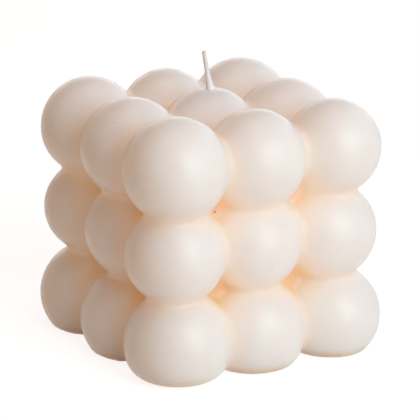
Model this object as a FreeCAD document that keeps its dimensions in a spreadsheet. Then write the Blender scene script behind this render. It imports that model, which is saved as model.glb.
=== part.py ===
"""A cube candle: a block of cast wax shaped as three layers of nine balls, with a cotton wick through it."""

import FreeCAD, Part
import math
import os

import Sketcher

# Frame: millimetres, +Z up, the flat base on Z = 0 and the wick on the Z axis.
# +X runs along the front face to the right, and +Y from the front face to the back.

# Driving dimensions, in millimetres and degrees.
# The layers came out of the mould a little unlike each other, so each has sizes of its own.
SIZES = {
    "bottom_radius": 11.57,
    "bottom_pitch": 18.85,
    "bottom_height": 7.5,
    "middle_radius": 10.78,
    "middle_pitch": 18.58,
    "middle_rise": 19.83,
    "top_radius": 10.88,
    "top_pitch": 19.12,
    "top_rise": 18.2,
    "base_edge": 1.5,
    "wick_width": 0.9,
    "wick_fit": 0.05,
    "foot_width": 1.95,
    "waist_width": 1.3,
    "waist_up": 1.6,
    "neck_width": 0.98,
    "neck_up": 3.6,
    "wick_up": 8.4,
    "wick_lean": 10.0,
    "wick_bearing": 150.0,
    "wick_cut": 16.0,
}

# Each layer from the base up, with the height of its ball centres.
LEVELS = {
    "bottom": "Sizes.bottom_height",
    "middle": "(Sizes.bottom_height + Sizes.middle_rise)",
    "top": "(Sizes.bottom_height + Sizes.middle_rise + Sizes.top_rise)",
}

# The candle is a cube, so a row holds as many balls as there are layers.
BALLS_IN_ROW = len(LEVELS)
GAPS_IN_ROW = BALLS_IN_ROW - 1

# The crest of the top layer's middle ball, where the wick comes out.
CREST = f"({LEVELS['top']} + Sizes.top_radius)"

FULL_TURN = 360
ORIGIN = FreeCAD.Vector(0, 0, 0)
UPRIGHT = FreeCAD.Vector(0, 0, 1)

# How the sketcher numbers its own axes, and the start, end and centre of a line or an arc.
X_AXIS, Y_AXIS = -1, -2
START, END, CENTRE = 1, 2, 3


def fill_sheet(doc):
    """The sheet of driving dimensions, each under its own name."""
    sheet = doc.addObject("Spreadsheet::Sheet", "Sizes")
    for row, (name, value) in enumerate(SIZES.items(), start=1):
        sheet.set(f"A{row}", name)
        sheet.set(f"B{row}", str(value))
        sheet.setAlias(f"B{row}", name)
    doc.recompute()


def add_body(doc, name):
    """An empty body, labelled with the name of its file."""
    body = doc.addObject("PartDesign::Body", name)
    body.Label = name
    return body


def datum(body, role):
    """One of a body's own origin planes or axes."""
    return next(item for item in body.Origin.OriginFeatures if item.Role == role)


def add_sketch(body, name, plane):
    """An empty sketch on one of a body's origin planes."""
    sketch = body.newObject("Sketcher::SketchObject", name)
    sketch.AttachmentSupport = [(datum(body, plane), "")]
    sketch.MapMode = "FlatFace"
    return sketch


def size_constraint(sketch, size, *arguments):
    """A dimension of a sketch, bound to an expression."""
    index = sketch.addConstraint(Sketcher.Constraint(*arguments))
    sketch.setExpression(f"Constraints[{index}]", size)


def circle_sketch(body, name, width):
    """A circle of a given width about the origin of the XY plane."""
    sketch = add_sketch(body, name, "XY_Plane")
    ring = sketch.addGeometry(Part.Circle(ORIGIN, UPRIGHT, 1), False)
    sketch.addConstraint(Sketcher.Constraint("Coincident", ring, CENTRE, X_AXIS, START))
    size_constraint(sketch, width, "Diameter", ring, 2)
    return sketch


def square_sketch(body, name, width):
    """A square of a given width, centred on the origin of the XY plane."""
    sketch = add_sketch(body, name, "XY_Plane")
    corners = [FreeCAD.Vector(x, y, 0) for x, y in ((-1, -1), (1, -1), (1, 1), (-1, 1))]
    next_corners = corners[1:] + corners[:1]
    front, right, back, left = [
        sketch.addGeometry(Part.LineSegment(start, end), False)
        for start, end in zip(corners, next_corners)
    ]
    for side, following in ((front, right), (right, back), (back, left), (left, front)):
        sketch.addConstraint(Sketcher.Constraint("Coincident", side, END, following, START))
    for side in (front, back):
        sketch.addConstraint(Sketcher.Constraint("Horizontal", side))
    for side in (right, left):
        sketch.addConstraint(Sketcher.Constraint("Vertical", side))
    sketch.addConstraint(Sketcher.Constraint("Equal", front, right))
    sketch.addConstraint(Sketcher.Constraint("Symmetric", front, START, back, START, X_AXIS, START))
    size_constraint(sketch, width, "DistanceX", front, START, front, END, 2)
    return sketch


def add_heart(body):
    """The solid wax behind the balls: it reaches out and up to their centres and floors the pits between them."""
    pitches = "; ".join(f"Sizes.{layer}_pitch" for layer in LEVELS)
    heart = body.newObject("PartDesign::Pad", "heart")
    heart.Profile = square_sketch(body, "heart_outline", f"{GAPS_IN_ROW} * max({pitches})")
    heart.setExpression("Length", LEVELS["top"])


def place_corner(item, layer, away, back, height):
    """Moves a layer's first ball to the front left corner, along the axes of the plane it is drawn on."""
    corner = f"{GAPS_IN_ROW} * Sizes.{layer}_pitch / 2"
    item.setExpression("AttachmentOffset.Base.x", f"-{corner}")
    item.setExpression(f"AttachmentOffset.Base.{away}", f"{back}{corner}")
    if height:
        item.setExpression("AttachmentOffset.Base.z", height)


def add_round_ball(body, layer):
    """The corner ball of the middle or top layer."""
    ball = body.newObject("PartDesign::AdditiveSphere", f"{layer}_ball")
    ball.AttachmentSupport = [(datum(body, "XY_Plane"), "")]
    ball.MapMode = "FlatFace"
    ball.setExpression("Radius", f"Sizes.{layer}_radius")
    place_corner(ball, layer, away="y", back="-", height=LEVELS[layer])
    return ball


def add_standing_ball(body, layer):
    """The corner ball of the bottom layer: turned from a profile that ends in the flat base and its round edge."""
    radius = SIZES[f"{layer}_radius"]
    height = SIZES[f"{layer}_height"]
    edge = SIZES["base_edge"]
    # where the round edge's own centre lies, so that it runs smoothly into the ball and the flat
    edge_out = math.sqrt((radius - edge) ** 2 - (height - edge) ** 2)
    meeting = math.atan2(edge - height, edge_out)
    quarter = math.pi / 2

    sketch = add_sketch(body, f"{layer}_profile", "XZ_Plane")
    centre = FreeCAD.Vector(0, height, 0)
    edge_centre = FreeCAD.Vector(edge_out, edge, 0)
    edge_foot = FreeCAD.Vector(edge_out, 0, 0)
    top = FreeCAD.Vector(0, height + radius, 0)
    side_arc = Part.ArcOfCircle(Part.Circle(centre, UPRIGHT, radius), meeting, quarter)
    edge_arc = Part.ArcOfCircle(Part.Circle(edge_centre, UPRIGHT, edge), -quarter, meeting)
    side = sketch.addGeometry(side_arc, False)
    rim = sketch.addGeometry(edge_arc, False)
    flat = sketch.addGeometry(Part.LineSegment(edge_foot, ORIGIN), False)
    middle = sketch.addGeometry(Part.LineSegment(ORIGIN, top), False)
    for rule in (
        ("Coincident", flat, END, X_AXIS, START),
        ("Coincident", middle, START, flat, END),
        ("Coincident", side, END, middle, END),
        ("PointOnObject", middle, END, Y_AXIS),
        ("PointOnObject", side, CENTRE, Y_AXIS),
        ("PointOnObject", flat, START, X_AXIS),
        ("Tangent", rim, END, side, START),
        ("Tangent", rim, START, flat, START),
    ):
        sketch.addConstraint(Sketcher.Constraint(*rule))
    size_constraint(sketch, f"Sizes.{layer}_radius", "Radius", side, radius)
    size_constraint(sketch, "Sizes.base_edge", "Radius", rim, edge)
    size_constraint(sketch, LEVELS[layer], "DistanceY", X_AXIS, START, side, CENTRE, height)
    # the XZ plane's own third axis points to the front
    place_corner(sketch, layer, away="z", back="", height=None)

    ball = body.newObject("PartDesign::Revolution", f"{layer}_ball")
    ball.Profile = sketch
    ball.ReferenceAxis = (sketch, ["V_Axis"])
    ball.Angle = FULL_TURN
    return ball


def repeat_ball(body, layer, ball):
    """Repeats a corner ball along both sides of its layer, fused with the wax so far."""
    doc = body.Document
    doc.recompute()
    grid = body.newObject("PartDesign::MultiTransform", f"{layer}_layer")
    grid.Originals = [ball]
    rows = []
    for axis, way in (("X_Axis", "along"), ("Y_Axis", "back")):
        row = doc.addObject("PartDesign::LinearPattern", f"{layer}_{way}")
        row.Direction = (datum(body, axis), [""])
        row.Occurrences = BALLS_IN_ROW
        row.setExpression("Length", f"{GAPS_IN_ROW} * Sizes.{layer}_pitch")
        body.addObject(row)
        rows.append(row)
    grid.Transformations = rows
    body.Tip = grid
    doc.recompute()


def cut_wick_hole(body):
    """The hole that the wax leaves round the wick, from the base to the crest."""
    before = body.Shape.Volume
    hole = body.newObject("PartDesign::Pocket", "wick_hole")
    hole.Profile = circle_sketch(body, "hole_outline", "Sizes.wick_width + 2 * Sizes.wick_fit")
    hole.Type = "ThroughAll"
    hole.Reversed = True
    body.Document.recompute()
    if body.Shape.Volume >= before:
        raise RuntimeError("the wick's hole took no wax away")


def make_wax_body(doc):
    """The cast block: balls that run into each other, flat below, with the wick's hole down the middle."""
    body = add_body(doc, "wax_body")
    add_heart(body)
    for layer in LEVELS:
        add_ball = add_standing_ball if layer == "bottom" else add_round_ball
        repeat_ball(body, layer, add_ball(body, layer))
    cut_wick_hole(body)
    return body


def add_section(body, name, width, along, tilt):
    """A round section of the wick above the wax: how far up the lean it lies, and how far it tips over."""
    sketch = circle_sketch(body, name, width)
    sideways = FreeCAD.Rotation(FreeCAD.Vector(0, 1, 0), 1)
    sketch.AttachmentOffset = FreeCAD.Placement(ORIGIN, sideways)
    sketch.setExpression("AttachmentOffset.Base.x", f"{along} * sin(Sizes.wick_lean * 1deg)")
    sketch.setExpression("AttachmentOffset.Base.z", f"{CREST} + {along} * cos(Sizes.wick_lean * 1deg)")
    sketch.setExpression("AttachmentOffset.Rotation.Angle", tilt)
    return sketch


def make_wick(doc):
    """The waxed cotton cord: upright in the block, thick at its foot, then leaning over and cut at a slant."""
    body = add_body(doc, "wick")
    stem = body.newObject("PartDesign::Pad", "stem")
    stem.Profile = circle_sketch(body, "stem_outline", "Sizes.wick_width")
    stem.setExpression("Length", CREST)

    lean = "Sizes.wick_lean"
    foot = add_section(body, "foot", "Sizes.foot_width", along="0", tilt="0")
    waist = add_section(body, "waist", "Sizes.waist_width", along="Sizes.waist_up", tilt=lean)
    neck = add_section(body, "neck", "Sizes.neck_width", along="Sizes.neck_up", tilt=lean)
    cut = f"{lean} + Sizes.wick_cut"
    tip = add_section(body, "tip", "Sizes.wick_width", along="Sizes.wick_up", tilt=cut)
    doc.recompute()
    bare_end = body.newObject("PartDesign::AdditiveLoft", "bare_end")
    bare_end.Profile = foot
    bare_end.Sections = [waist, neck, tip]
    bare_end.Ruled = False
    body.Tip = bare_end

    # the lean is drawn towards +X, and the whole wick is turned to its bearing
    body.setExpression("Placement.Rotation.Angle", "Sizes.wick_bearing")
    doc.recompute()
    return body


def check_and_write(doc, bodies):
    """Stops at any feature or shape that failed, then writes one file for each body."""
    for item in doc.Objects:
        if "Invalid" in item.State or "Error" in item.State:
            raise RuntimeError(f"{item.Name} failed: {item.State}")
    for body in bodies:
        if body.Shape.isNull() or not body.Shape.isValid() or len(body.Shape.Solids) != 1:
            raise RuntimeError(f"{body.Label} is not one sound solid")
    os.makedirs("parts", exist_ok=True)
    for body in bodies:
        body.Shape.exportStep(f"parts/{body.Label}.step")
        box = body.Shape.BoundBox
        print(f"{body.Label}: {body.Shape.Volume:.1f} mm3, faces {len(body.Shape.Faces)},")
        print(f"  {box.XLength:.2f} x {box.YLength:.2f} x {box.ZLength:.2f} mm")


def main():
    doc = FreeCAD.newDocument("cube_candle")
    fill_sheet(doc)
    bodies = [make_wax_body(doc), make_wick(doc)]
    doc.recompute()
    check_and_write(doc, bodies)


main()
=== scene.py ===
# %% [markdown]
# # A cube candle
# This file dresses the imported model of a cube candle: cream wax cast in a soft mould as three layers of nine
# balls, with one cotton wick through the middle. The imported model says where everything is, and this file
# gives it its looks. The real candle is one casting, so its wax is one piece here too, and the wick is the
# other.

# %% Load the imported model
import bpy
import math
import numpy as np
from mathutils import Matrix, Vector


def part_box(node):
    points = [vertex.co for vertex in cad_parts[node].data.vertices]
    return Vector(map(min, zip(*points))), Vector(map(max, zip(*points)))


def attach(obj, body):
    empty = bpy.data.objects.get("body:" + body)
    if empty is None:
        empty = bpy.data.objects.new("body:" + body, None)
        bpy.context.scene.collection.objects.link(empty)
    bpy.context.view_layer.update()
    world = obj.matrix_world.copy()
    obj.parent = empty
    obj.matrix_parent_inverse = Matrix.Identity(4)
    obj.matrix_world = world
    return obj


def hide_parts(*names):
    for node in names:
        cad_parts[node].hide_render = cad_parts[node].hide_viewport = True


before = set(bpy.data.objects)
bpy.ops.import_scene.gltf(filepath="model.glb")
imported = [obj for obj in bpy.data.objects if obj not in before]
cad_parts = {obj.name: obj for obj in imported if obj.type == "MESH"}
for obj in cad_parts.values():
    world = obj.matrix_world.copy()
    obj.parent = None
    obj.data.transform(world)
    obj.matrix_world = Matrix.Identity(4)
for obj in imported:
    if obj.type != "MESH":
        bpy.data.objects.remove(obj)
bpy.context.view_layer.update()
MM = 0.001
wax_low, wax_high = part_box("wax_body")
wick_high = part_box("wick")[1]
print("wax", [round(x / MM, 2) for x in wax_high - wax_low], "wick tip at", round(wick_high.z / MM, 2))


# %% [markdown]
# ## The camera
# The photograph was taken from far away with a long lens, so near and far balls look almost the same size.
# The camera stands to the left of the front face and a little above it, and is tipped by half a degree. It
# comes first, because everything else is judged through it.

# %% Camera
CAMERA_AWAY = 561.4 * MM
CAMERA_TURN = math.radians(-30.11)
CAMERA_RISE = math.radians(17.39)
CAMERA_ROLL = math.radians(0.53)
CAMERA_AIM = Vector((0.42, 0.29, 28.8)) * MM
SENSOR = 36.0
LENS = 219.8
NEAR = 50 * MM

stand = Matrix.Rotation(CAMERA_TURN, 4, "Z") @ Matrix.Rotation(math.pi / 2 - CAMERA_RISE, 4, "X")
stand = Matrix.Translation(CAMERA_AIM) @ stand @ Matrix.Rotation(CAMERA_ROLL, 4, "Z")
stand = stand @ Matrix.Translation((0, 0, CAMERA_AWAY))
camera = bpy.data.objects.new("camera", bpy.data.cameras.new("camera"))
bpy.context.scene.collection.objects.link(camera)
camera.data.sensor_width = SENSOR
camera.data.lens = LENS
camera.data.clip_start = NEAR
camera.matrix_world = stand
bpy.context.scene.camera = camera
print("camera", [round(x / MM) for x in camera.location])


# %% [markdown]
# ## Working on one piece at a time
# Most of Blender's operators act on whatever is selected, so every step starts by saying what that is.
# Settling a piece moves its place, turn and size into its mesh, which leaves the object itself at the origin.

# %% Helpers for selecting and applying
def only(*pieces):
    """Selects these objects and nothing else, and makes the first one active."""
    bpy.ops.object.select_all(action="DESELECT")
    for piece in pieces:
        piece.select_set(True)
    bpy.context.view_layer.objects.active = pieces[0]


def settle(piece):
    """Moves an object's place, turn and size into its mesh."""
    only(piece)
    bpy.ops.object.transform_apply(location=True, rotation=True, scale=True)


def apply_modifier(piece, kind, **settings):
    """Adds a modifier, sets it and applies it at once."""
    only(piece)
    added = piece.modifiers.new(kind.lower(), kind)
    for name, value in settings.items():
        setattr(added, name, value)
    bpy.ops.object.modifier_apply(modifier=added.name)


def copy_of(piece, move, grow, about):
    """A copy of a piece with a mesh of its own, grown about a point and then moved."""
    only(piece)
    bpy.ops.object.duplicate()
    made = bpy.context.object
    made.scale = (grow, grow, grow)
    made.location = move + about * (1 - grow)
    settle(made)
    return made


def join(*pieces, name):
    """Makes one object of several."""
    only(*pieces)
    bpy.ops.object.join()
    made = bpy.context.object
    made.name = name
    made.data.name = name
    return made


# %% [markdown]
# ## The balls
# Each layer of the mould has its own ball size, spacing and height. A ball starts as an icosphere, because
# its triangles are all about the same size, with no poles. The candle stands on its lowest layer. Those balls
# are cut by a bisect a little above the table, and a torus that touches the ball from inside, with a disc in
# its middle, makes the flat foot and its rounded rim.

# %% Balls of the mould
LAYERS = {
    "bottom": {"radius": 11.57 * MM, "pitch": 18.85 * MM, "level": 7.5 * MM},
    "middle": {"radius": 10.78 * MM, "pitch": 18.58 * MM, "level": 27.33 * MM},
    "top": {"radius": 10.88 * MM, "pitch": 19.12 * MM, "level": 45.53 * MM},
}
BALL_FINENESS = 6
FOOT_SIDES = 96
FOOT_STEPS = 32


def round_ball(centre, radius):
    """A fine ball."""
    bpy.ops.mesh.primitive_ico_sphere_add(subdivisions=BALL_FINENESS, radius=radius, location=centre)
    ball = bpy.context.object
    settle(ball)
    return ball


def standing_ball(centre, radius, edge):
    """A ball cut level with the table, whose rim is rounded by the edge's radius."""
    ball = round_ball(centre, radius)
    edge_out = math.sqrt((radius - edge) ** 2 - (centre.z - edge) ** 2)
    meeting = centre.z + radius * (edge - centre.z) / (radius - edge)
    bpy.ops.object.mode_set(mode="EDIT")
    bpy.ops.mesh.select_all(action="SELECT")
    bpy.ops.mesh.bisect(plane_co=(0, 0, meeting), plane_no=(0, 0, 1), use_fill=True, clear_inner=True)
    bpy.ops.object.mode_set(mode="OBJECT")
    bpy.ops.mesh.primitive_torus_add(
        major_radius=edge_out, minor_radius=edge, major_segments=FOOT_SIDES, minor_segments=FOOT_STEPS,
        location=(centre.x, centre.y, edge),
    )
    rim = bpy.context.object
    bpy.ops.mesh.primitive_cylinder_add(
        vertices=FOOT_SIDES, radius=edge_out, depth=meeting, location=(centre.x, centre.y, meeting / 2)
    )
    return join(ball, rim, bpy.context.object, name="ball")


# %% [markdown]
# ## Twenty-seven balls
# The balls of the upper two layers are copies, and those of the lowest are made one by one, because the table
# cuts each a little differently. In a soft mould no two balls come out quite alike. Those that the photograph
# shows well are nudged as it shows them, in millimetres to the right, upwards and wider. The rest are nudged
# by a tenth or so, the same on every run. The corner ball nearest the camera has the roundest foot.

# %% Nudged balls
PLACES = [(i, j) for i in (-1, 0, 1) for j in (-1, 0, 1)]
SEEN_NUDGES = {
    ("top", -1, -1): (-0.09, 0.2, 0.3),
    ("top", 0, -1): (0.12, -0.16, -0.12),
    ("top", 1, -1): (0.3, 0.15, -0.5),
    ("top", -1, 0): (-0.04, 0.13, 0.08),
    ("top", -1, 1): (-0.02, 0.4, 0.05),
    ("top", 0, 1): (-0.1, 0.42, -0.47),
    ("top", 1, 1): (-0.05, -0.35, 0.45),
    ("top", 1, 0): (0.1, -0.7, 0.45),
    ("middle", -1, -1): (-0.26, -0.25, 0.0),
    ("middle", -1, 0): (0.1, 0.3, 0.0),
    ("middle", -1, 1): (-0.87, 0.37, -0.54),
    ("middle", 1, -1): (0.0, -0.3, 0.12),
    ("bottom", -1, -1): (0.5, 0.0, 0.0),
    ("bottom", -1, 0): (-0.1, -0.1, -0.15),
    ("bottom", -1, 1): (-0.45, 0.1, -0.2),
    ("bottom", 0, -1): (0.0, -0.1, 0.0),
    ("bottom", 1, -1): (0.75, 0.3, -0.5),
}
UNSEEN_NUDGE = 0.1
SEED = 27
BASE_EDGE = 1.5 * MM
BASE_EDGES = {(-1, -1): 5.5 * MM, (0, -1): 2.5 * MM, (1, -1): 2.5 * MM}
RIGHT = stand.to_3x3() @ Vector((1, 0, 0))
UP = Vector((0, 0, 1))

chance = np.random.default_rng(SEED)
balls = []
centres = []
for name, layer in LAYERS.items():
    axis = Vector((0, 0, layer["level"]))
    first = round_ball(axis, layer["radius"]) if name != "bottom" else None
    for i, j in PLACES:
        right, up, wider = SEEN_NUDGES.get((name, i, j), chance.uniform(-UNSEEN_NUDGE, UNSEEN_NUDGE, 3))
        move = Vector((i * layer["pitch"], j * layer["pitch"], 0)) + (RIGHT * right + UP * up) * MM
        radius = layer["radius"] + wider * MM
        if first:
            balls.append(copy_of(first, move, grow=radius / layer["radius"], about=axis))
        else:
            balls.append(standing_ball(axis + move, radius, BASE_EDGES.get((i, j), BASE_EDGE)))
        centres.append((axis + move, radius))
    if first:
        bpy.data.objects.remove(first)
print("balls", len(balls), "faces of one", len(balls[-1].data.polygons))


# %% [markdown]
# ## The heart
# Where four balls meet there is a dent and not a hole, because the mould closes off the gap between them. A
# plain block inside the balls stands for that solid heart: it reaches the middles of the outer balls.

# %% Heart
HEART_HALF = LAYERS["top"]["pitch"]
HEART_TOP = LAYERS["top"]["level"]

bpy.ops.mesh.primitive_cube_add(size=1, location=(0, 0, HEART_TOP / 2))
heart = bpy.context.object
heart.scale = (2 * HEART_HALF, 2 * HEART_HALF, HEART_TOP)
settle(heart)
print("heart", [round(x / MM, 2) for x in heart.dimensions])


# %% [markdown]
# ## One casting
# A voxel remesh makes one skin of everything that overlaps, as wax poured into one mould has. A few steps of
# smoothing then round the creases between balls by about half a millimetre, which is how sharp the rubber of
# such a mould can be.

# %% Fuse and soften
VOXEL = 0.6 * MM
SOFTEN_SHARE = 0.5
SOFTEN_STEPS = 4

wax = join(heart, *balls, name="wax")
apply_modifier(wax, "REMESH", mode="VOXEL", voxel_size=VOXEL)
apply_modifier(wax, "SMOOTH", factor=SOFTEN_SHARE, iterations=SOFTEN_STEPS)


def points_of(piece):
    """The places of a mesh's vertices, one row each."""
    flat = np.zeros(3 * len(piece.data.vertices), np.float32)
    piece.data.vertices.foreach_get("co", flat)
    return flat.reshape(-1, 3)


def put_points(piece, points):
    """Moves a mesh's vertices to these places."""
    piece.data.vertices.foreach_set("co", points.astype(np.float32).ravel())
    piece.data.update()


points = points_of(wax)
print("faces", len(wax.data.polygons), "lowest", round(float(points[:, 2].min()) / MM, 3))


# %% [markdown]
# ## Soft dents
# Where four balls meet, rubber and wax leave no corners at all, so the dents are smoothed much further than
# the rest, and the creases a little further. A vertex group says how far each point takes part. How deep a
# point lies is told by its distance to the surfaces of the balls: near the second-nearest one it lies in a
# crease, and near the fourth-nearest one in a dent.

# %% Softer dents
CREASE_FROM, CREASE_TO = 0.3, 2.2
CREASE_SHARE = 0.5
DENT_FROM, DENT_TO = 3.4, 7.5
DENT_STEPS = 44
WEIGHTS = 12


def ball_distances(piece):
    """The distances from a mesh's vertices to the surfaces of all balls, in millimetres, nearest first."""
    points = points_of(piece)
    away = np.array([
        np.linalg.norm(points - np.array(centre), axis=1) - radius for centre, radius in centres
    ])
    return np.sort(away, axis=0) / MM


def fade(values, low, high):
    """1 below low, 0 above high, and a smooth fall between them."""
    share = np.clip((high - values) / (high - low), 0, 1)
    return share * share * (3 - 2 * share)


away = ball_distances(wax)
part = np.maximum(fade(away[1], CREASE_FROM, CREASE_TO) * CREASE_SHARE, fade(away[3], DENT_FROM, DENT_TO))
group = wax.vertex_groups.new(name="dents")
steps = np.round(part * WEIGHTS).astype(int)
for step in range(1, WEIGHTS + 1):
    group.add(np.nonzero(steps == step)[0].tolist(), step / WEIGHTS, "REPLACE")
apply_modifier(wax, "SMOOTH", factor=SOFTEN_SHARE, iterations=DENT_STEPS, vertex_group=group.name)
lowest = float(points_of(wax)[:, 2].min())
print("points smoothed further", int((steps > 0).sum()), "lowest", round(lowest / MM, 3))


# %% [markdown]
# ## Hand-poured, not turned
# Real balls of wax are a little out of round: the rubber mould gives, and the wax sinks as it cools. A
# Displace modifier with a cloud texture pushes the skin in and out by a tenth of a millimetre over a
# centimetre or so. No one sees that as a bump, but it keeps the light from lying on every ball in the same
# way. Smoothing and displacing both move the underside by a hair, so it is set level again last.

# %% A gentle unevenness
UNEVEN_SIZE = 9 * MM
UNEVEN_DEPTH = 0.22 * MM
LEVEL_BELOW = 0.12 * MM

uneven = bpy.data.textures.new("uneven", "CLOUDS")
uneven.noise_scale = UNEVEN_SIZE
uneven.noise_depth = 1
apply_modifier(wax, "DISPLACE", texture=uneven, texture_coords="LOCAL", strength=UNEVEN_DEPTH, mid_level=0.5)

points = points_of(wax)
near_table = points[:, 2] < LEVEL_BELOW
points[near_table, 2] = 0
put_points(wax, points)
print("level points under the base", int(near_table.sum()))


# %% [markdown]
# ## The hole for the wick
# The wick goes all the way through, from the underside to the top of the middle ball. The hole is cut by a
# Boolean, as a needle through the mould leaves it. Shading is smooth, apart from the edges of the hole.

# %% Bore
WICK_WIDTH = 0.9 * MM
WICK_FIT = 0.05 * MM
BORE_SIDES = 24
BORE_SPARE = 2 * MM
SHARP_ANGLE = math.radians(50)

bpy.ops.mesh.primitive_cylinder_add(
    vertices=BORE_SIDES,
    radius=WICK_WIDTH / 2 + WICK_FIT,
    depth=wax_high.z + 2 * BORE_SPARE,
    location=(0, 0, wax_high.z / 2),
)
needle = bpy.context.object
settle(needle)
apply_modifier(wax, "BOOLEAN", operation="DIFFERENCE", object=needle, solver="EXACT")
bpy.data.objects.remove(needle)
only(wax)
bpy.ops.object.shade_smooth_by_angle(angle=SHARP_ANGLE)
print("faces with the bore", len(wax.data.polygons))


# %% [markdown]
# ## Where the balls run together
# Wax lets light in and gives it back warmer the further it has gone. In the creases and dents light goes in
# and out several times, and there the real candle glows peach. How deep a point lies is measured here once,
# by the same two distances as before: small to the second-nearest ball means a crease, and small to the
# fourth-nearest a dent. Both are kept in the mesh as attributes, which the wax material reads.

# %% Depth in the creases
away = ball_distances(wax)
for name, row in (("second_ball", away[1]), ("fourth_ball", away[3])):
    kept = wax.data.attributes.new(name, "FLOAT", "POINT")
    kept.data.foreach_set("value", np.clip(row, 0, None).astype(np.float32))
    print(name, "from", round(float(row.min()), 2), "to", round(float(row.max()), 2), "mm")

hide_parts("wax_body")
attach(wax, "root")


# %% [markdown]
# ## The wick
# The wick is twisted cotton, dipped in wax. Three strands lie round its axis, and each is a small circle
# carried up a helix by a Screw modifier. The strands are joined and remeshed finely, so that they read as one
# cord with grooves, the way a waxed wick does.

# %% Strands
STRANDS = 3
STRAND_RADIUS = 0.31 * MM
STRAND_PROUD = 0.02 * MM
STRAND_AWAY = WICK_WIDTH / 2 - STRAND_RADIUS + STRAND_PROUD
STRAND_SIDES = 16
LAY_LENGTH = 3.4 * MM
TURN_STEPS = 28
CREST = LAYERS["top"]["level"] + LAYERS["top"]["radius"]
WICK_UP = 8.4 * MM
WICK_LEAN = math.radians(10)
WICK_BEARING = math.radians(150)
WICK_CUT = math.radians(16)


def cord(bottom, top, name):
    """Twisted strands from one height to another, upright, as one object."""
    turns = (top - bottom) / LAY_LENGTH
    made = []
    for k in range(STRANDS):
        bpy.ops.mesh.primitive_circle_add(vertices=STRAND_SIDES, radius=STRAND_RADIUS, fill_type="NOTHING")
        strand = bpy.context.object
        strand.rotation_euler = (math.pi / 2, 0, 0)
        strand.location = (STRAND_AWAY, 0, bottom)
        settle(strand)
        strand.rotation_euler = (0, 0, 2 * math.pi * k / STRANDS)
        settle(strand)
        apply_modifier(
            strand, "SCREW", angle=2 * math.pi * turns, screw_offset=top - bottom,
            steps=int(TURN_STEPS * turns), render_steps=int(TURN_STEPS * turns), use_merge_vertices=False,
        )
        only(strand)
        bpy.ops.object.mode_set(mode="EDIT")
        bpy.ops.mesh.select_all(action="SELECT")
        bpy.ops.mesh.fill_holes(sides=0)
        bpy.ops.mesh.normals_make_consistent(inside=False)
        bpy.ops.object.mode_set(mode="OBJECT")
        made.append(strand)
    return join(*made, name=name)


buried = cord(STRAND_RADIUS, CREST + STRAND_RADIUS, "buried")
print("strands", STRANDS, "size", [round(x / MM, 2) for x in buried.dimensions])


# %% [markdown]
# ## The wick's free end
# Above the wax the wick leans a little, and it was trimmed at a slant. It is made upright and cut by a bisect
# first, and then the whole end is turned about the point where it leaves the wax.

# %% Free end
CUT_SPARE = 1.2 * MM
LEAN_WAY = Vector((math.cos(WICK_BEARING), math.sin(WICK_BEARING), 0))
LEAN_AXIS = Vector((0, 0, 1)).cross(LEAN_WAY)

free_end = cord(-CUT_SPARE, WICK_UP + CUT_SPARE, "free_end")
only(free_end)
bpy.ops.object.mode_set(mode="EDIT")
bpy.ops.mesh.select_all(action="SELECT")
cut_facing = LEAN_WAY * math.sin(WICK_CUT) + Vector((0, 0, math.cos(WICK_CUT)))
bpy.ops.mesh.bisect(plane_co=(0, 0, WICK_UP), plane_no=cut_facing, use_fill=True, clear_outer=True)
bpy.ops.object.mode_set(mode="OBJECT")
print("free end", [round(x / MM, 2) for x in free_end.dimensions])


# %% [markdown]
# ## The waxed foot
# When the wick was pulled through, wax crept up it and left a pale cone, wide at the foot and hollow-sided,
# that thins out to a coat near the tip. It starts as a circle and is extruded upwards ring by ring, each ring
# scaled to the width it has in the photograph.

# %% Foot
FOOT_RINGS = [
    (-0.35, 1.3), (0.0, 1.12), (0.2, 0.98), (0.5, 0.88), (0.9, 0.79), (1.6, 0.69), (2.6, 0.6), (3.6, 0.53),
    (4.8, 0.475), (6.2, 0.45), (7.6, 0.43), (8.1, 0.36), (8.25, 0.2),
]
WAXED_SIDES = 32

height, radius = FOOT_RINGS[0]
bpy.ops.mesh.primitive_circle_add(
    vertices=WAXED_SIDES, radius=radius * MM, fill_type="NGON", location=(0, 0, height * MM)
)
foot = bpy.context.object
settle(foot)
bpy.ops.object.mode_set(mode="EDIT")
bpy.ops.mesh.select_all(action="SELECT")
for next_height, next_radius in FOOT_RINGS[1:]:
    bpy.ops.mesh.extrude_region_move(TRANSFORM_OT_translate={"value": (0, 0, (next_height - height) * MM)})
    grow = next_radius / radius
    bpy.ops.transform.resize(value=(grow, grow, 1), center_override=(0, 0, next_height * MM))
    height, radius = next_height, next_radius
bpy.ops.mesh.select_all(action="SELECT")
bpy.ops.mesh.normals_make_consistent(inside=False)
bpy.ops.object.mode_set(mode="OBJECT")
print("foot faces", len(foot.data.polygons))


# %% [markdown]
# ## One wick
# The free end and its foot are turned to lean, moved up to the crest of the middle ball, and fused with the
# buried cord by a fine voxel remesh. A few steps of smoothing leave the strands as the soft grooves that wax
# makes of them.

# %% Fuse the wick
WICK_VOXEL = 0.07 * MM
WICK_SOFTEN_STEPS = 5

lean = Matrix.Translation((0, 0, CREST)) @ Matrix.Rotation(WICK_LEAN, 4, LEAN_AXIS)
for piece in (free_end, foot):
    piece.matrix_world = lean
    settle(piece)
wick = join(buried, free_end, foot, name="wick")
apply_modifier(wick, "REMESH", mode="VOXEL", voxel_size=WICK_VOXEL)
apply_modifier(wick, "SMOOTH", factor=SOFTEN_SHARE, iterations=WICK_SOFTEN_STEPS)
only(wick)
bpy.ops.object.shade_smooth()
print("wick faces", len(wick.data.polygons), [round(x / MM, 2) for x in wick.dimensions])

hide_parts("wick")
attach(wick, "root")


# %% [markdown]
# ## Writing materials
# A material is a network of nodes, and a sum written as nodes is hard to read. This small class holds one
# output of a network, and turns Python's own signs into Math nodes, so that 1 - mask or depth * 2 can simply
# be written. Every other node comes from its method node, which sets the node up first and then fills its
# sockets.

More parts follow.
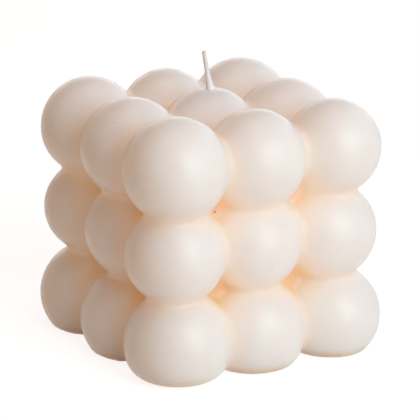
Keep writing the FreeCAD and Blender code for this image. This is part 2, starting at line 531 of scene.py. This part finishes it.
# %% Sums as nodes
class Wire:
    """One output of a node, which can be used in sums and passed to other nodes."""

    def __init__(self, tree, socket=None):
        self.tree = tree
        self.socket = socket

    def node(self, kind, settings=None, sockets=None, out=0):
        """Adds a node, sets it up, gives its sockets values or wires, and returns one of its outputs."""
        made = self.tree.nodes.new("ShaderNode" + kind)
        for name, value in (settings or {}).items():
            setattr(made, name, value)
        for name, value in (sockets or {}).items():
            if isinstance(value, Wire):
                self.tree.links.new(value.socket, made.inputs[name])
            else:
                made.inputs[name].default_value = value
        return Wire(self.tree, made.outputs[out])

    def maths(self, operation, *values):
        return self.node("Math", {"operation": operation}, dict(enumerate(values)))

    def __add__(self, other):
        return self.maths("ADD", self, other)

    def __sub__(self, other):
        return self.maths("SUBTRACT", self, other)

    def __rsub__(self, other):
        return self.maths("SUBTRACT", other, self)

    def __mul__(self, other):
        return self.maths("MULTIPLY", self, other)

    def __truediv__(self, other):
        return self.maths("DIVIDE", self, other)

    __radd__ = __add__
    __rmul__ = __mul__

    def ramp(self, low, high):
        """0 below low, 1 above high, and a smooth rise between them."""
        settings = {"interpolation_type": "SMOOTHSTEP"}
        return self.node("MapRange", settings, {"Value": self, "From Min": low, "From Max": high})

    def tint(self, colour_a, colour_b):
        """colour_a where this is 0, and colour_b where it is 1."""
        return self.node("Mix", {"data_type": "RGBA"}, {0: self, 6: colour_a, 7: colour_b}, out=2)


def new_material(name, **constants):
    """A material with one Principled shader, whose sockets are set here, and a Wire to start sums from."""
    made = bpy.data.materials.new(name)
    made.use_nodes = True
    shader = made.node_tree.nodes["Principled BSDF"]
    for socket, value in constants.items():
        shader.inputs[socket.replace("_", " ")].default_value = value
    return made, shader, Wire(made.node_tree)


def feed(shader, start, **sockets):
    """Links wires to a shader's sockets."""
    for socket, wire in sockets.items():
        start.tree.links.new(wire.socket, shader.inputs[socket.replace("_", " ")])


def dress(piece, material):
    """Gives a piece this material alone."""
    piece.data.materials.clear()
    piece.data.materials.append(material)


# %% [markdown]
# ## Small marks
# The candle shows a few small marks: a dark spot in the dent where four balls meet, with a tiny one beside it,
# three faint ones, and three pale pinholes, of which the first two are hardly to be made out in the
# photograph.
# Each is named by its pixel there, with its radius in millimetres. A ray from the camera through that pixel
# finds the place on the wax, and the mark stays there, seen from any side.

# %% Marks on the wax
PICTURE = 420
MARKS = {
    "dark": [((214.3, 211.6), 0.36), ((230.4, 210.9), 0.12)],
    "faint": [((113, 122), 0.34), ((107, 152), 0.3), ((170, 339), 0.22)],
    "pale": [((297, 307), 0.3), ((309.5, 299), 0.3), ((253, 234), 0.26)],
}


def on_wax(pixel):
    """The place on the wax that shows at a pixel of the photograph."""
    across = (pixel[0] + 0.5) / PICTURE - 0.5
    down = (pixel[1] + 0.5) / PICTURE - 0.5
    way = stand.to_3x3() @ Vector((across * SENSOR, -down * SENSOR, -LENS)).normalized()
    found, place = wax.ray_cast(stand.translation, way)[:2]
    assert found, f"nothing at {pixel}"
    return place


marks = {kind: [(on_wax(pixel), size * MM) for pixel, size in rows] for kind, rows in MARKS.items()}
print("marks at", [[round(x / MM, 1) for x in place] for rows in marks.values() for place, size in rows])


# %% [markdown]
# ## Wax
# The wax is a blend with a satin skin. Light goes about a centimetre into it, red light furthest, so the
# Principled shader's subsurface part makes nearly all of its colour. The base colour turns to peach where
# balls meet, most in the dents between four of them, and at the rim of the base, where the wax ends. That
# peach
# is painted glow: it stands for the warm light that wax gives back where light goes in and out several times,
# and for light coming through the wax at its foot. A slow noise gives the faint clouding of cooled wax.

# %% Wax material
WAX_OPEN = (0.95, 0.85, 0.8, 1)
WAX_CLOUD = (0.96, 0.875, 0.83, 1)
# painted glow: the next three colours stand for light the wax gives back warmer, not for colours of the wax
WAX_CREASE_PAINTED_GLOW = (1.0, 0.86, 0.785, 1)
WAX_DENT_PAINTED_GLOW = (1.0, 0.67, 0.34, 1)
WAX_RIM_PAINTED_GLOW = (1.0, 0.62, 0.38, 1)
SCATTER = (14.0, 11.0, 9.0)

# where each tint begins and ends, in millimetres, and in shares for the clouds
CREASE_TINT = (0.2, 5.0)
DENT_TINT = (2.6, 6.6)
RIM_TINT = (0.0, 3.0)
CLOUD_TINT = (0.35, 0.75)
CLOUD_SIZE = 7 * MM

# a dent's painted peach glow reaches wider the lower it lies
MID_HEIGHT = 27.0
LOW_SHARE = 0.04

wax_look, skin, start = new_material(
    "wax",
    Subsurface_Weight=1.0,
    Subsurface_Radius=SCATTER,
    Subsurface_Scale=MM,
    IOR=1.44,
    Coat_Weight=0.12,
    Coat_Roughness=0.16,
    Coat_IOR=1.4,
    Emission_Strength=1.0,
)
place = start.node("TexCoord", out=3)


def noise(size, detail):
    """A smooth pattern from 0 to 1 whose patches are about this size."""
    return start.node("TexNoise", sockets={"Vector": place, "Scale": 1 / size, "Detail": detail})


second = start.node("Attribute", {"attribute_name": "second_ball"}, out=2)
fourth = start.node("Attribute", {"attribute_name": "fourth_ball"}, out=2)
clouds = noise(CLOUD_SIZE, detail=3.0)
colour = clouds.ramp(*CLOUD_TINT).tint(WAX_OPEN, WAX_CLOUD)
# painted glow: peach where two balls meet
colour = (1 - second.ramp(*CREASE_TINT)).tint(colour, WAX_CREASE_PAINTED_GLOW)
height = start.node("SeparateXYZ", sockets={0: place}, out=2) / MM
# painted glow: deeper peach in the dents, reaching wider lower down
colour = (1 - (fourth + (height - MID_HEIGHT) * LOW_SHARE).ramp(*DENT_TINT)).tint(colour, WAX_DENT_PAINTED_GLOW)
# painted glow: peach at the rim of the base, where light comes through the wax
colour = (1 - height.ramp(*RIM_TINT)).tint(colour, WAX_RIM_PAINTED_GLOW)
print("nodes of the wax's colour", len(wax_look.node_tree.nodes))


# %% [markdown]
# ## Glow and marks
# A very weak light of its own, warm too, stands for light that has wandered through the whole block before it
# comes out in the creases and dents, and one round the wick's foot makes up for what the bore swallows. Real
# wax has no such light: it is a stand-in, and it stays when the lamps are changed. The marks found above are
# round spots of another colour.

# %% Glow and marks of the wax
NO_GLOW = (0, 0, 0, 1)
CREASE_GLOW = (0.055, 0.014, 0.003, 1)
CREASE_LIGHT = (0.0, 3.5)
DENT_GLOW = (0.055, 0.032, 0.012, 1)
DENT_LIGHT = (5.0, 12.0)
WICK_GLOW = (0.12, 0.115, 0.11, 1)
WICK_GLOW_SIZE = 3.2 * MM
SPOT_FULL = 0.45
MARK_LOOKS = {
    "dark": (0.8, (0.3, 0.17, 0.08, 1)),
    "faint": (0.2, (0.3, 0.24, 0.2, 1)),
    "pale": (0.8, (1.0, 0.97, 0.93, 1)),
}


def spot(centre, size):
    """1 at a place on the piece, and 0 from this distance on."""
    away = start.node("VectorMath", {"operation": "DISTANCE"}, {0: place, 1: tuple(centre)}, out=1)
    return 1 - away.ramp(SPOT_FULL * size, size)


glow = (1 - second.ramp(*CREASE_LIGHT)).tint(NO_GLOW, CREASE_GLOW)
glow = (1 - fourth.ramp(*DENT_LIGHT)).tint(glow, DENT_GLOW)
glow = spot((0, 0, CREST), WICK_GLOW_SIZE).tint(glow, WICK_GLOW)
masks = {kind: sum(spot(*mark) for mark in marks[kind]) for kind in MARK_LOOKS}
for kind, (share, shade) in MARK_LOOKS.items():
    colour = (masks[kind] * share).tint(colour, shade)
print("marks", {kind: len(rows) for kind, rows in marks.items()})


# %% [markdown]
# ## Satin skin
# The skin of cast wax shines a little, and not everywhere alike. A fine noise gives the unevenness of its
# gloss, and two more a very shallow, wavy orange-peel skin. They only turn the light, so they go through a
# bump and leave the mesh alone. The dark specks are pressed in by a hair.

# %% Gloss and skin of the wax
GLOSS_SIZE = 2.2 * MM
ROUGH_LEAST = 0.3
ROUGH_SPREAD = 0.12
PEEL_SIZE, PEEL_HEIGHT = 1.4 * MM, 0.012
WAVE_SIZE, WAVE_HEIGHT = 6 * MM, 0.08
SPECK_DEPTH = 0.05

gloss = noise(GLOSS_SIZE, detail=4.0)
roughness = ROUGH_LEAST + gloss * ROUGH_SPREAD
skin_height = noise(PEEL_SIZE, detail=3.0) * PEEL_HEIGHT + noise(WAVE_SIZE, detail=1.0) * WAVE_HEIGHT
skin_height = skin_height - masks["dark"] * SPECK_DEPTH
bump = start.node("Bump", sockets={"Strength": 1.0, "Distance": MM, "Height": skin_height})
feed(skin, start, Base_Color=colour, Roughness=roughness, Normal=bump, Emission_Color=glow)
dress(wax, wax_look)
print("wax nodes", len(wax_look.node_tree.nodes))


# %% [markdown]
# ## Cotton
# The wick is pale cotton soaked in wax. Its foot, where the wax is thick, is a cool white, and its tip is a
# beige grey, partly because the cotton there is drier and partly as painted shade. Its fibres are too fine to
# be made one by one, so a very fine noise stands for them, in the colour and in the bump.

# %% Cotton material
COTTON_FOOT = (0.9, 0.93, 0.97, 1)
# the tip's beige grey is partly drier cotton and partly painted shade
COTTON_TIP_DRY_AND_SHADED = (0.86, 0.82, 0.79, 1)
DRY_AND_SHADE_FROM, DRY_AND_SHADE_TO = 1.5, 6.0
FIBRE_SIZE = 0.18 * MM
FIBRE_TINT = 0.2
FIBRE_HEIGHT = 0.03
COTTON_ROUGH, DRY_ROUGHER = 0.45, 0.3

cotton, fibre, start = new_material(
    "cotton",
    Subsurface_Weight=0.4,
    Subsurface_Radius=(1.0, 0.9, 0.8),
    Subsurface_Scale=0.5 * MM,
)
place = start.node("TexCoord", out=3)
height = start.node("SeparateXYZ", sockets={0: place}, out=2) / MM
# darker towards the tip: partly drier cotton, partly painted shade
dry_and_shaded = height.ramp(CREST / MM + DRY_AND_SHADE_FROM, CREST / MM + DRY_AND_SHADE_TO)
fibres = start.node("TexNoise", sockets={"Vector": place, "Scale": 1 / FIBRE_SIZE, "Detail": 3.0})
feed(
    fibre, start,
    Base_Color=(dry_and_shaded + fibres * FIBRE_TINT - FIBRE_TINT / 2).tint(COTTON_FOOT, COTTON_TIP_DRY_AND_SHADED),
    Roughness=COTTON_ROUGH + dry_and_shaded * DRY_ROUGHER,
    Normal=start.node("Bump", sockets={"Strength": 1.0, "Distance": MM, "Height": fibres * FIBRE_HEIGHT}),
)
dress(wick, cotton)
print("cotton nodes", len(cotton.node_tree.nodes))


# %% [markdown]
# ## Table and backdrop
# The photograph shows the candle on plain white. The floor is a pale plane that gives light back to the
# candle, as the white table did. Where the camera or a reflection sees it, a light of its own lifts it to
# white, while a part of it that only takes light keeps the candle's shadow.

# %% Floor
FLOOR_SIDE = 3.0
FLOOR_COLOUR = (0.9, 0.87, 0.82, 1)
FLOOR_SEEN = (0.35, 0.35, 0.35, 1)
FLOOR_LIFT = 0.85


def seen(start):
    """1 for what the camera, a reflection or a clear body sees, and 0 for what only lights other things."""
    path = start.node("LightPath")
    outputs = path.socket.node.outputs
    rays = [Wire(start.tree, outputs[f"Is {kind} Ray"]) for kind in ("Camera", "Glossy", "Transmission")]
    return path.maths("MAXIMUM", path.maths("MAXIMUM", rays[0], rays[1]), rays[2])


bpy.ops.mesh.primitive_plane_add(size=FLOOR_SIDE)
floor = bpy.context.object
floor.name = "floor"
table, not_needed, start = new_material("table")
table.node_tree.nodes.remove(not_needed)
lit = start.node("BsdfDiffuse", sockets={"Color": FLOOR_COLOUR})
shown = start.node("AddShader", sockets={
    0: start.node("BsdfDiffuse", sockets={"Color": FLOOR_SEEN}),
    1: start.node("Emission", sockets={"Strength": FLOOR_LIFT}),
})
blend = start.node("MixShader", sockets={0: seen(start), 1: lit, 2: shown})
start.tree.links.new(blend.socket, start.tree.nodes["Material Output"].inputs["Surface"])
dress(floor, table)
print("floor", FLOOR_SIDE, "m wide")


# %% [markdown]
# ## The world
# The backdrop is white for the camera and for reflections. For everything else the world is a weak, warm
# light from all round. It stands for light from the room, and in the photograph the wax looks peach where
# only that reaches it.

# %% World
SHADE_LIGHT = (0.24, 0.114, 0.03, 1)
WHITE = (1, 1, 1, 1)

world = bpy.data.worlds.new("studio")
bpy.context.scene.world = world
world.use_nodes = True
start = Wire(world.node_tree)
backdrop = world.node_tree.nodes["Background"]
start.tree.links.new(seen(start).tint(SHADE_LIGHT, WHITE).socket, backdrop.inputs["Color"])
print("light from all round", SHADE_LIGHT[:3])


# %% [markdown]
# ## Studio light
# The light comes from a tall soft box to the right of the camera, a shade cooler than the room, with a weaker
# one overhead and two more behind, which draw the thin pale lines along the far edges of the balls. Turns are
# counted in degrees from the camera's own direction, to the right, and rises from the table. All lamps stand
# at the same distance, and each looks at the middle of the candle.

# %% Lamps
LAMPS = {
    "key": {"turn": 38, "rise": 26, "size": (0.6, 0.85), "watts": 5.55, "colour": (0.83, 1, 1.12)},
    "overhead": {"turn": 0, "rise": 88, "size": (0.5, 0.5), "watts": 1.1, "colour": (1.08, 0.97, 1)},
    "rim": {"turn": 130, "rise": 40, "size": (0.45, 0.45), "watts": 0.7, "colour": (0.45, 0.78, 1.1)},
    "back": {"turn": 180, "rise": 12, "size": (1.2, 0.3), "watts": 1.15, "colour": (0.85, 0.95, 1.05)},
}
LAMP_AWAY = 0.9
AIM = Vector((0, 0, 30 * MM))

for name, lamp in LAMPS.items():
    turn, rise = CAMERA_TURN + math.radians(lamp["turn"]), math.radians(lamp["rise"])
    way = Vector((math.sin(turn) * math.cos(rise), -math.cos(turn) * math.cos(rise), math.sin(rise)))
    light = bpy.data.lights.new(name, "AREA")
    light.shape = "RECTANGLE"
    light.size, light.size_y = lamp["size"]
    light.energy = lamp["watts"]
    light.color = lamp["colour"]
    held = bpy.data.objects.new(name, light)
    bpy.context.scene.collection.objects.link(held)
    turned = way.to_track_quat("Z", "Y").to_matrix().to_4x4()
    held.matrix_world = Matrix.Translation(AIM + way * LAMP_AWAY) @ turned
print("lamps", list(LAMPS))


# %% [markdown]
# ## Finish
# Colours stay as they are written with the Standard view.

# %% Finish
bpy.context.scene.view_settings.view_transform = "Standard"
